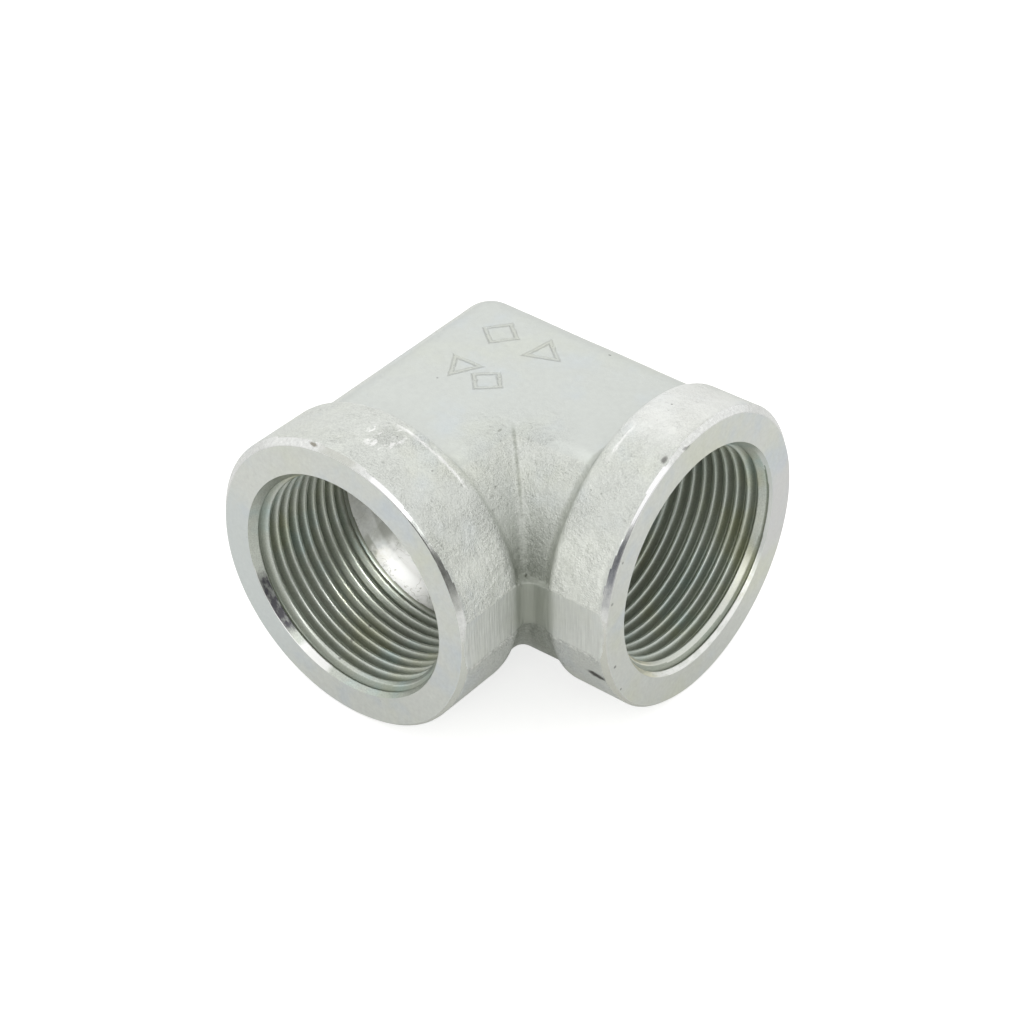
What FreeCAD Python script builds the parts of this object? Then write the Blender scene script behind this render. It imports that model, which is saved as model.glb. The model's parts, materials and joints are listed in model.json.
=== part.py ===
# Forged steel elbow fitting with two threaded ports at right angles.
# Millimetres, +Z up. The shape is worked out round the point where the two port axes cross, and the
# finished body is then moved so that its origin is the middle of its footprint, level with its lowest line.
import FreeCAD, Part
import math
import os

from FreeCAD import Matrix, Placement, Rotation, Vector

# Ports: A opens towards -Y and B towards +X, both as far from the crossing of their axes
centre_to_face = 42.6

# Pipe thread G 1 1/4, left as the plain wall of its minor diameter
thread_major_diameter = 41.91
thread_pitch = 2.309
thread_height_in_pitches = 0.640327
mouth_beyond_thread = 0.345
tapped_depth = 25.5

# Drilled way through, where each drill stops a little past the crossing
step_down_to_drill = 0.876
drill_past_crossing = 7.0
drill_tip_angle = math.radians(118)

# Forged body, whose middle sits a little off the crossing of the machined ports
forging_middle = Vector(-0.5, 0.5, 0.1)
wall_at_crossing = 7.9
wall_under_flats = 3.8
leg_draft = math.radians(1)
flat_edge_round = 5.0
back_corner_round = 6.5
crotch_round_at_parting = 0.8
crotch_round_at_flat = 3.0

# Collars, each with its own run of leg between the crotch and its shoulder
collar_height = 0.9
crotch_to_shoulder_a = 2.0
crotch_to_shoulder_b = 4.6
shoulder_draft = math.radians(12)
shoulder_crest_round = 1.6
shoulder_foot_round = 1.6

# Faces turned on the collars' ends
face_chamfer = 0.95
chamfer_angle = math.radians(45)

# Flash trimmed off all round the parting plane, at one distance from the middle of each leg
trimmed_beyond_leg = 0.45
trimmed_half_height = 4.5
trimmed_crotch_round = 2.2

# Worked-out sizes
thread_major_radius = thread_major_diameter / 2
thread_minor_radius = thread_major_radius - thread_height_in_pitches * thread_pitch
mouth_radius = thread_major_radius + mouth_beyond_thread
drill_radius = thread_minor_radius - step_down_to_drill
leg_radius_at_crossing = drill_radius + wall_at_crossing
half_height_over_flats = drill_radius + wall_under_flats
collar_radius = leg_radius_at_crossing + collar_height
shoulder_to_crossing_a = leg_radius_at_crossing + crotch_to_shoulder_a
shoulder_to_crossing_b = leg_radius_at_crossing + crotch_to_shoulder_b
face_ring_radius = collar_radius - face_chamfer
trimmed_half_width = leg_radius_at_crossing + trimmed_beyond_leg
beyond = 2 * centre_to_face

# How near a plane or corner an edge's middle lies to count as on it
on_it = 1e-5

ORIGIN = Vector(0, 0, 0)
ALONG = Vector(0, 0, 1)

# A leg is drawn with its port along local Z and the part's +Z along local Y
LAY_ALONG_PORT_A = Placement(Matrix(1, 0, 0, 0, 0, 0, -1, 0, 0, 1, 0, 0, 0, 0, 0, 1))
LAY_ALONG_PORT_B = Placement(Matrix(0, 0, 1, 0, 1, 0, 0, 0, 0, 1, 0, 0, 0, 0, 0, 1))


def point(radius, along):
    """Point of a turned outline."""
    return Vector(radius, 0, along)


def box(low, high):
    """Box between two opposite corners."""
    size = high - low
    return Part.makeBox(size.x, size.y, size.z, low)


def middle(edge):
    """Point half way along an edge."""
    return edge.valueAt((edge.FirstParameter + edge.LastParameter) / 2)


def turned(outline):
    """Solid turned round local Z from a closed outline in the XZ plane."""
    return Part.Face(outline).revolve(ORIGIN, ALONG, 360)


def turned_from_points(points):
    """Solid turned from an outline of straight sides."""
    return turned(Part.makePolygon(points + points[:1]))


def flatted_bar(front):
    """Upper half of a leg's drafted round bar, with its flat on top and the flat's sides rounded."""
    back = 2 * leg_radius_at_crossing
    taper = math.tan(leg_draft)
    thick_end = leg_radius_at_crossing + back * taper
    thin_end = leg_radius_at_crossing - front * taper
    bar = Part.makeCone(thick_end, thin_end, back + front, Vector(0, 0, -back), ALONG)
    upper = box(Vector(-beyond, 0, -beyond), Vector(beyond, half_height_over_flats, beyond))
    bar = bar.common(upper).removeSplitter()
    sides = []
    for edge in bar.Edges:
        at = middle(edge)
        if abs(at.y - half_height_over_flats) < on_it and abs(at.x) > on_it:
            sides.append(edge)
    return bar.makeFillet(flat_edge_round, sides)


def forged_collar(shoulder_to_crossing):
    """Upper half of a collar, with its drafted shoulder, rounded crest and trimmed sides."""
    to_tangent = shoulder_crest_round / math.tan((math.pi / 2 + shoulder_draft) / 2)
    crest_start = point(
        collar_radius - to_tangent * math.cos(shoulder_draft),
        shoulder_to_crossing - to_tangent * math.sin(shoulder_draft),
    )
    crest_end = point(collar_radius, shoulder_to_crossing + to_tangent)
    crest_centre = point(collar_radius - shoulder_crest_round, shoulder_to_crossing + to_tangent)
    outwards = (crest_start + crest_end) * 0.5 - crest_centre
    crest_top = crest_centre + outwards.normalize() * shoulder_crest_round
    cone_tip = point(0, shoulder_to_crossing - collar_radius * math.tan(shoulder_draft))
    rim = point(collar_radius, centre_to_face + shoulder_crest_round)
    rim_middle = point(0, rim.z)
    outline = Part.Wire(
        [
            Part.makeLine(cone_tip, crest_start),
            Part.Arc(crest_start, crest_top, crest_end).toShape(),
            Part.makeLine(crest_end, rim),
            Part.makeLine(rim, rim_middle),
            Part.makeLine(rim_middle, cone_tip),
        ]
    )
    trimmed = box(Vector(-trimmed_half_width, 0, -beyond), Vector(trimmed_half_width, beyond, beyond))
    return turned(outline).common(trimmed)


def forged_leg(shoulder_to_crossing):
    """Upper half of one straight leg with its collar, blended along the shoulder's foot."""
    bar = flatted_bar(shoulder_to_crossing + shoulder_crest_round)
    leg = bar.fuse(forged_collar(shoulder_to_crossing)).removeSplitter()
    foot = []
    for edge in leg.Edges:
        beside = [type(face.Surface).__name__ for face in leg.ancestorsOfType(edge, Part.Face)]
        above_parting = middle(edge).y > on_it
        if above_parting and "Cone" in beside and "Toroid" not in beside:
            foot.append(edge)
    return leg.makeFillet(shoulder_foot_round, foot)


def one_side_of_mitre(normal):
    """Everything on the side of the mitre plane that its normal points to."""
    block = box(Vector(-beyond, -beyond, 0), Vector(beyond, beyond, 2 * beyond))
    block.Placement = Placement(ORIGIN, Rotation(ALONG, normal))
    return block


def mitre_edges(shape):
    """Edges above the parting plane that lie in the mitre plane, from the longest to the shortest."""
    found = []
    for edge in shape.Edges:
        points = [vertex.Point for vertex in edge.Vertexes] + [middle(edge)]
        if middle(edge).z > on_it and all(abs(p.x + p.y) < on_it for p in points):
            found.append(edge)
    return sorted(found, key=lambda edge: -edge.Length)


def upper_forging():
    """Upper half of the forging: both legs meeting at the mitre, with back corner and crotch blended."""
    leg_a = forged_leg(shoulder_to_crossing_a)
    leg_a.Placement = LAY_ALONG_PORT_A
    leg_b = forged_leg(shoulder_to_crossing_b)
    leg_b.Placement = LAY_ALONG_PORT_B
    leg_a = leg_a.common(one_side_of_mitre(Vector(-1, -1, 0)))
    leg_b = leg_b.common(one_side_of_mitre(Vector(1, 1, 0)))
    elbow = leg_a.fuse(leg_b).removeSplitter()
    back_corner = [edge for edge in mitre_edges(elbow) if middle(edge).x < 0]
    elbow = elbow.makeFillet(back_corner_round, back_corner)
    crotch = [edge for edge in mitre_edges(elbow) if middle(edge).x > 0]
    return elbow.makeFillet(crotch_round_at_parting, crotch_round_at_flat, crotch[:1])


def trimmed_band():
    """Trimmed stub of flash round the legs and through the crotch, as a plate cut to its plan."""
    out = trimmed_half_width
    end_a = shoulder_to_crossing_a + shoulder_crest_round
    end_b = shoulder_to_crossing_b + shoulder_crest_round
    plan = [
        Vector(-out, -end_a, 0),
        Vector(-out, out, 0),
        Vector(end_b, out, 0),
        Vector(end_b, -out, 0),
        Vector(out, -out, 0),
        Vector(out, -end_a, 0),
    ]
    height = Vector(0, 0, 2 * trimmed_half_height)
    plate = Part.Face(Part.makePolygon(plan + plan[:1])).extrude(height)
    plate.translate(height * -0.5)
    back, crotch = plan[1], plan[4]
    back_round = back_corner_round + trimmed_half_width - leg_radius_at_crossing
    for corner, radius in ((back, back_round), (crotch, trimmed_crotch_round)):
        upright = []
        for edge in plate.Edges:
            at = middle(edge)
            if math.hypot(at.x - corner.x, at.y - corner.y) < on_it:
                upright.append(edge)
        plate = plate.makeFillet(radius, upright)
    return plate


def forging():
    """Whole forging, mirrored about its parting plane."""
    upper = upper_forging()
    lower = upper.mirror(ORIGIN, ALONG)
    whole = upper.fuse([lower, trimmed_band()]).removeSplitter()
    whole.translate(forging_middle)
    return whole


def machined_envelope():
    """What turning leaves at a port: all behind its flat face and outer chamfer."""
    reach = beyond
    widest = face_ring_radius + reach * math.tan(chamfer_angle)
    return turned_from_points(
        [
            point(0, -beyond),
            point(widest, -beyond),
            point(widest, centre_to_face - reach),
            point(face_ring_radius, centre_to_face),
            point(0, centre_to_face),
        ]
    )


def port_way():
    """What drilling, boring and countersinking take out at a port."""
    bored_to = centre_to_face - tapped_depth
    step = thread_minor_radius - drill_radius
    countersink = mouth_radius - thread_minor_radius
    tip = drill_radius / math.tan(drill_tip_angle / 2)
    return turned_from_points(
        [
            point(0, -drill_past_crossing - tip),
            point(drill_radius, -drill_past_crossing),
            point(drill_radius, bored_to - step),
            point(thread_minor_radius, bored_to),
            point(thread_minor_radius, centre_to_face - countersink),
            point(mouth_radius, centre_to_face),
            point(mouth_radius, beyond),
            point(0, beyond),
        ]
    )


def elbow_body():
    """Machined forging, in the frame of its port axes."""
    body = forging()
    for lay in (LAY_ALONG_PORT_A, LAY_ALONG_PORT_B):
        envelope = machined_envelope()
        envelope.Placement = lay
        body = body.common(envelope)
    for lay in (LAY_ALONG_PORT_A, LAY_ALONG_PORT_B):
        way = port_way()
        way.Placement = lay
        body = body.cut(way)
    return body.removeSplitter().Solids[0]


def footprint_middle():
    """Middle of the body's footprint, level with the collars' lowest line, seen from the crossing."""
    lowest_x = forging_middle.x - trimmed_half_width
    highest_y = forging_middle.y + trimmed_half_width
    return Vector(
        (lowest_x + centre_to_face) / 2,
        (highest_y - centre_to_face) / 2,
        forging_middle.z - collar_radius,
    )


os.makedirs("parts", exist_ok=True)
body = elbow_body()
body.translate(footprint_middle() * -1)
body.exportStep("parts/elbow_body.step")
print("elbow_body", body.ShapeType, "valid" if body.isValid() else "not valid")
print("volume", round(body.Volume), "mm3, box", body.optimalBoundingBox(True, False))
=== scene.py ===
"""Dressed model of a forged, zinc plated 90 degree pipe elbow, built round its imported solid."""
import json
import logging
import math
from dataclasses import asdict, dataclass
from enum import Enum
from functools import reduce
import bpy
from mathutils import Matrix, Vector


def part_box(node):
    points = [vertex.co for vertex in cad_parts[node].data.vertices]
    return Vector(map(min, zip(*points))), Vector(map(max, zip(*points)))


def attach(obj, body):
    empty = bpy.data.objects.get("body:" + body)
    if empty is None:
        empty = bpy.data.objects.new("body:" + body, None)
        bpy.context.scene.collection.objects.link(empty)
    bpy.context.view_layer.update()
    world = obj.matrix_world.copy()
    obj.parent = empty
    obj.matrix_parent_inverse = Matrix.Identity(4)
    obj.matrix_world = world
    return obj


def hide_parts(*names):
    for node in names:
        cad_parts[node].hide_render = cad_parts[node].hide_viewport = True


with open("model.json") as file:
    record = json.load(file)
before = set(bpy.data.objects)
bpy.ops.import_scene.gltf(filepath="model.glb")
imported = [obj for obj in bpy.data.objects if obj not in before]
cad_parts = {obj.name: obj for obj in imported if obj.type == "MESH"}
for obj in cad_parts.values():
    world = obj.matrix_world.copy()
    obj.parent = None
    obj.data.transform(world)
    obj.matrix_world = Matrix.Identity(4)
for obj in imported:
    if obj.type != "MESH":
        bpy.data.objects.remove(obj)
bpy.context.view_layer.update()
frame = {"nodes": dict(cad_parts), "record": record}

from types import SimpleNamespace
from typing import Any, Optional, Sequence

import bpy
import numpy as np
from mathutils import Matrix, Vector
from mathutils.bvhtree import BVHTree

LOG = logging.getLogger("elbow")
MM = 0.001
NODE = "elbow_body"
UP = Vector((0, 0, 1))
FULL_TURN = 2 * math.pi
DRILL_RADIUS = 18.6 * MM
MOUTH_RADIUS = 21.3 * MM
NOISE_ROUGHNESS = 0.55
Pair = tuple[float, float]
Triple = tuple[float, float, float]


class Zone(Enum):
    """Surfaces of the body that were made in different ways."""

    FORGED = 0
    TRIMMED = 1
    CHAMFER = 2
    FACE = 3


class Value:
    """What a node puts out, with Python's arithmetic for numbers."""

    def __init__(self, wiring: "Wiring", socket: bpy.types.NodeSocket) -> None:
        """Keeps the output's socket and where new nodes go."""
        self.wiring, self.socket = wiring, socket

    def __add__(self, other: Any) -> "Value":
        """Adds a number."""
        return self.wiring.math("ADD", self, other)

    def __sub__(self, other: Any) -> "Value":
        """Takes a number off."""
        return self.wiring.math("SUBTRACT", self, other)

    def __rsub__(self, other: Any) -> "Value":
        """Takes this off a number."""
        return self.wiring.math("SUBTRACT", other, self)

    def __mul__(self, other: Any) -> "Value":
        """Multiplies by a number."""
        return self.wiring.math("MULTIPLY", self, other)

    def __truediv__(self, other: Any) -> "Value":
        """Divides by a number."""
        return self.wiring.math("DIVIDE", self, other)

    def __rtruediv__(self, other: Any) -> "Value":
        """Divides a number by this."""
        return self.wiring.math("DIVIDE", other, self)

    def __abs__(self) -> "Value":
        """Drops the sign."""
        return self.wiring.math("ABSOLUTE", self)


class Wiring:
    """Adds nodes to a node tree and links them."""

    def __init__(self, tree: bpy.types.NodeTree) -> None:
        """Keeps the tree that the nodes go to."""
        self.tree = tree

    def feed(self, socket: bpy.types.NodeSocket, value: Any) -> None:
        """Gives a socket a link or a plain value.

        Args:
            socket: Input socket.
            value: Another node's output, or a number, a vector or a colour with no alpha.
        """
        if isinstance(value, Value):
            self.tree.links.new(value.socket, socket)
        elif socket.type == "RGBA":
            socket.default_value = (*value, 1)
        else:
            socket.default_value = value

    def node(self, kind: str, values: Optional[dict] = None, **settings: Any) -> bpy.types.Node:
        """Adds one node.

        Args:
            kind: Node type.
            values: What each input gets, by name or number.
            settings: Properties of the node.

        Returns:
            The node.
        """
        made = self.tree.nodes.new(kind)
        for key, value in settings.items():
            setattr(made, key, value)
        for key, value in (values or {}).items():
            self.feed(made.inputs[key], value)
        return made

    def outputs(self, node: bpy.types.Node) -> dict[str, Value]:
        """All that a node puts out, by name."""
        return {socket.name: Value(self, socket) for socket in node.outputs}

    def value(self, kind: str, values: Optional[dict] = None, output: Any = 0, **settings: Any) -> Value:
        """Adds one node and picks an output by name or number."""
        return Value(self, self.node(kind, values, **settings).outputs[output])

    def use(self, group: bpy.types.NodeTree, **values: Any) -> dict[str, Value]:
        """Adds a shared node group and gives all that it puts out."""
        return self.outputs(self.node("ShaderNodeGroup", values, node_tree=group))

    def math(self, operation: str, *values: Any) -> Value:
        """Adds a Math node with its inputs in their order."""
        return self.value("ShaderNodeMath", dict(enumerate(values)), operation=operation)

    def most(self, *values: Any) -> Value:
        """Greatest of some numbers."""
        return reduce(lambda first, second: self.math("MAXIMUM", first, second), values)

    def vector(self, operation: str, *values: Any) -> Value:
        """Adds a Vector Math node.

        Args:
            operation: Name of the operation.
            values: Inputs in their order. The last one of SCALE is its scale.

        Returns:
            The result.
        """
        slots = (0, "Scale") if operation == "SCALE" else (0, 1)
        output = "Value" if operation in ("LENGTH", "DOT_PRODUCT", "DISTANCE") else "Vector"
        return self.value("ShaderNodeVectorMath", dict(zip(slots, values)), output, operation=operation)

    def parts(self, vector: Value) -> list[Value]:
        """Splits a vector into its three numbers."""
        return list(self.outputs(self.node("ShaderNodeSeparateXYZ", {0: vector})).values())

    def join(self, x: Any, y: Any, z: Any = 0.0) -> Value:
        """Makes a vector from three numbers."""
        return self.value("ShaderNodeCombineXYZ", {0: x, 1: y, 2: z})

    def local(self, vector: Value, place: Triple, turn: float, size: Triple = (1, 1, 1)) -> Value:
        """Coordinates round a place, turned about +Z and measured in a size."""
        values = {"Vector": vector, "Location": place, "Rotation": (0, 0, turn), "Scale": size}
        return self.value("ShaderNodeMapping", values, vector_type="TEXTURE")

    def ramp(self, value: Value, low: Any, high: Any, start: Any = 0.0, end: Any = 1.0,
             kind: str = "SMOOTHSTEP") -> Value:
        """Maps low to start and high to end, and stays there beyond them."""
        values = dict(enumerate((value, low, high, start, end)))
        return self.value("ShaderNodeMapRange", values, interpolation_type=kind, clamp=True)

    def fade(self, value: Value, band: Pair, ends: Pair = (0.0, 1.0)) -> Value:
        """Maps a distance from a band in millimetres to both ends."""
        return self.ramp(value, band[0] * MM, band[1] * MM, *ends)

    def noise(self, vector: Value, size: Any, detail: float, seed: Any) -> Value:
        """Adds a Noise Texture whose grain has a size in metres."""
        values = {"Vector": vector, "Scale": 1.0 / size, "W": seed, "Detail": detail,
                  "Roughness": NOISE_ROUGHNESS}
        return self.value("ShaderNodeTexNoise", values, noise_dimensions="4D")

    def stripes(self, place: Value, size: Any, seed: float) -> Value:
        """Adds a Noise Texture that changes along one number, in metres."""
        values = {"W": place / size + seed, "Scale": 1.0, "Detail": 2.0, "Roughness": NOISE_ROUGHNESS}
        return self.value("ShaderNodeTexNoise", values, noise_dimensions="1D")

    def dots(self, vector: Value, scale: Any, rarity: float, widest: float, channel: int = 0,
             seed: Any = None, least: float = 0.001) -> Value:
        """Adds dots of different widths, at most one to a Voronoi cell.

        Args:
            vector: Coordinates in metres.
            scale: Cells a metre.
            rarity: Share of the cells that have no dot.
            widest: Radius of the widest dot over the cell's size.
            channel: Which of the cell's random numbers picks its dot.
            seed: Picks the pattern, or None for one with no seed.
            least: Radius of the smallest dot.

        Returns:
            1 in the middle of a dot and 0 between dots.
        """
        values = {"Vector": vector, "Scale": scale}
        if seed is not None:
            values["W"] = seed
        dimensions = "3D" if seed is None else "4D"
        cells = self.outputs(self.node("ShaderNodeTexVoronoi", values, voronoi_dimensions=dimensions))
        width = self.ramp(self.parts(cells["Color"])[channel], rarity, 1.0, 0.0, widest, "LINEAR")
        return self.ramp(cells["Distance"], 0.0, width + least, 1.0, 0.0)

    def mix(self, share: Any, first: Any, second: Any, kind: str = "MIX") -> Value:
        """Mixes a share of the second colour into the first."""
        values = {0: share, 6: first, 7: second}
        return self.value("ShaderNodeMix", values, 2, data_type="RGBA", blend_type=kind)

    def realize(self, geometry: Value, material: Value) -> Value:
        """Ends a geometry tree with real faces of one material."""
        real = self.value("GeometryNodeRealizeInstances", {0: geometry})
        return self.value("GeometryNodeSetMaterial", {"Geometry": real, "Material": material})


class Group(Wiring):
    """Node group with named sockets."""

    def __init__(self, name: str, kind: str, inputs: dict[str, str], outputs: dict[str, str]) -> None:
        """Makes the group.

        Args:
            name: Name of the group.
            kind: Shader or Geometry.
            inputs: Socket type of each input.
            outputs: Socket type of each output.
        """
        super().__init__(bpy.data.node_groups.new(name, kind + "NodeTree"))
        for way, sockets in (("INPUT", inputs), ("OUTPUT", outputs)):
            for label, socket_type in sockets.items():
                self.tree.interface.new_socket(name=label, in_out=way, socket_type="NodeSocket" + socket_type)
        entry = self.outputs(self.node("NodeGroupInput"))
        self.given = SimpleNamespace(**{label: entry[label] for label in inputs})

    def finish(self, **values: Any) -> bpy.types.NodeTree:
        """Feeds the outputs by name and gives the tree."""
        self.node("NodeGroupOutput", values)
        return self.tree


def emptied(owner: Any) -> Wiring:
    """Empties the node tree of a material or a world.

    Args:
        owner: The material or world.

    Returns:
        The wiring of its tree.
    """
    owner.use_nodes = True
    owner.node_tree.nodes.clear()
    return Wiring(owner.node_tree)


def add_object(name: str, data: Any) -> bpy.types.Object:
    """Adds an object to the scene.

    Args:
        name: Name of the object.
        data: Its mesh, lamp or camera.

    Returns:
        The object.
    """
    made = bpy.data.objects.new(name, data)
    bpy.context.scene.collection.objects.link(made)
    return made


def read_rows(items: Any, name: str) -> np.ndarray:
    """Reads a vector of every vertex, loop or normal.

    Args:
        items: The mesh's collection.
        name: Name of the vector.

    Returns:
        The vectors, one a row.
    """
    rows = np.empty((len(items), 3))
    items.foreach_get(name, rows.reshape(-1))
    return rows


@dataclass(frozen=True)
class Port:
    """One threaded port, seen from the point where both port axes cross."""

    name: str
    crossing: Vector
    axis: Vector
    outer: Vector
    face: float
    minor_radius: float

    def place(self, along: Any, radius: Any, turn: Any) -> np.ndarray:
        """Points round the port's axis.

        Args:
            along: Distances from the crossing along the axis.
            radius: Distances from the axis.
            turn: Angles from the outer side towards the top.

        Returns:
            The points, one a row.
        """
        along, radius, turn = np.broadcast_arrays(along, radius, turn)
        across = np.cos(turn)[..., None] * np.array(self.outer) + np.sin(turn)[..., None] * np.array(UP)
        return np.array(self.crossing) + along[..., None] * np.array(self.axis) + radius[..., None] * across

    def measure(self, points: np.ndarray) -> tuple[np.ndarray, np.ndarray, np.ndarray]:
        """Where points lie round the port's axis.

        Args:
            points: Points, one a row.

        Returns:
            Their distances along the axis and from it, and their angles from the outer side.
        """
        from_crossing = points - np.array(self.crossing)
        along = from_crossing @ np.array(self.axis)
        across = from_crossing - along[:, None] * np.array(self.axis)
        return along, np.linalg.norm(across, axis=1), np.arctan2(across[:, 2], across @ np.array(self.outer))


def read_ports() -> list[Port]:
    """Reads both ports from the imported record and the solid's box.

    Returns:
        Port A, then port B.
    """
    mounts = {mount["name"]: mount for mount in frame["record"]["mounts"]}
    first, second = mounts["port_a"], mounts["port_b"]
    crossing = Vector((first["pos_m"][0], second["pos_m"][1], first["pos_m"][2]))
    low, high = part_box(NODE)
    ports = []
    for mount, other in ((first, second), (second, first)):
        axis = Vector(mount["axis"])
        face = max(axis.dot(low - crossing), axis.dot(high - crossing))
        ports.append(Port(mount["name"], crossing, axis, -Vector(other["axis"]), face,
                          mount["dims"]["r_mm"] * MM))
    return ports


def grow(tree: bpy.types.NodeTree, values: dict, start: Optional[bpy.types.Mesh] = None) -> bpy.types.Mesh:
    """Runs a geometry node tree once and keeps its result as a plain mesh.

    Args:
        tree: Geometry node tree.
        values: What each named input gets.
        start: Mesh that the tree starts from.

    Returns:
        The new mesh.
    """
    holder = add_object("holder", start or bpy.data.meshes.new("empty"))
    modifier = holder.modifiers.new("shape", "NODES")
    modifier.node_group = tree
    for item in tree.interface.items_tree:
        if item.in_out == "INPUT" and item.name in values:
            modifier[item.identifier] = values[item.name]
    graph = bpy.context.evaluated_depsgraph_get()
    made = bpy.data.meshes.new_from_object(
        holder.evaluated_get(graph), preserve_all_data_layers=True, depsgraph=graph)
    holder.modifiers.remove(modifier)
    bpy.data.objects.remove(holder)
    return made


def dress(mesh: bpy.types.Mesh, name: str) -> None:
    """Puts a finished mesh in the scene as a piece that rides on the body.

    Args:
        mesh: Mesh in the row frame.
        name: Name of the piece.
    """
    piece = add_object(name, mesh)
    mesh.name = name
    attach(piece, "root")
    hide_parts(NODE)
    LOG.info("%s: %d faces", name, len(mesh.polygons))


class SolidProbe:
    """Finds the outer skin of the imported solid."""

    MOST_WALLS = 6
    STEP = 1e-6

    def __init__(self, node: str) -> None:
        """Reads the solid's mesh.

        Args:
            node: Name of the solid's node.
        """
        mesh = frame["nodes"][node].data
        mesh.calc_loop_triangles()
        points = [vertex.co.copy() for vertex in mesh.vertices]
        triangles = [tuple(triangle.vertices) for triangle in mesh.loop_triangles]
        self.tree = BVHTree.FromPolygons(points, triangles, all_triangles=True)

    def way_out(self, origin: Vector, direction: Vector) -> float:
        """Distance from a point in the bore to where a line leaves the metal.

        Args:
            origin: Start of the line.
            direction: Unit vector.

        Returns:
            The distance.
        """
        gone = 0.0
        for _ in range(self.MOST_WALLS):
            _, normal, _, distance = self.tree.ray_cast(origin + direction * gone, direction)
            if normal is None:
                break
            gone += distance
            if normal.dot(direction) > 0:
                break
            gone += self.STEP
        return gone


@dataclass(frozen=True)
class ForgedRelief:
    """Unevenness of the forged skin, cut into it by a geometry node tree."""

    wave_depth: float = 0.10 * MM
    wave_size: float = 9.0 * MM
    grain_depth: float = 0.035 * MM
    grain_size: float = 1.3 * MM
    pit_depth: float = 0.10 * MM
    pit_spacing: float = 2.6 * MM
    seed: float = 3.0

    PIT_RARITY, PIT_WIDTH = 0.55, 0.34

    def tree(self) -> bpy.types.NodeTree:
        """Builds the tree, which sinks the skin where its forged attribute is above zero.

        Returns:
            The tree.
        """
        group = Group("forged_relief", "Geometry", {
            "geometry": "Geometry", "material": "Material", **dict.fromkeys(asdict(self), "Float")},
            {"geometry": "Geometry"})
        given = group.given
        place = group.value("GeometryNodeInputPosition")
        depth = group.noise(place, given.wave_size, 1.0, given.seed) * given.wave_depth
        depth += group.noise(place, given.grain_size, 2.0, given.seed) * given.grain_depth
        pits = group.dots(place, 1.0 / given.pit_spacing, self.PIT_RARITY, self.PIT_WIDTH, seed=given.seed)
        depth += pits * given.pit_depth
        forged = group.value("GeometryNodeInputNamedAttribute", {"Name": "forged"}, data_type="FLOAT")
        offset = group.vector("SCALE", group.value("GeometryNodeInputNormal"), depth * forged * -1.0)
        moved = group.value("GeometryNodeSetPosition", {"Geometry": given.geometry, "Offset": offset})
        return group.finish(geometry=group.realize(moved, given.material))

    def cut(self, mesh: bpy.types.Mesh, material: bpy.types.Material) -> bpy.types.Mesh:
        """Cuts the relief into a mesh that has a forged attribute on its points."""
        return grow(self.tree(), {**asdict(self), "material": material}, mesh)


@dataclass(frozen=True)
class Nick:
    """Small dent that a knock left, in millimetres."""

    place: Triple
    radius: float
    depth: float

    def press(self, points: np.ndarray, normals: np.ndarray) -> None:
        """Presses the dent into points.

        Args:
            points: Points, one a row, in metres, changed in place.
            normals: Outward normals of the points.
        """
        far = np.linalg.norm(points - np.array(self.place) * MM, axis=1) / (self.radius * MM)
        share = np.clip(1 - far**2, 0, 1) ** 2
        points -= normals * (share * self.depth * MM)[:, None]


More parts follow.
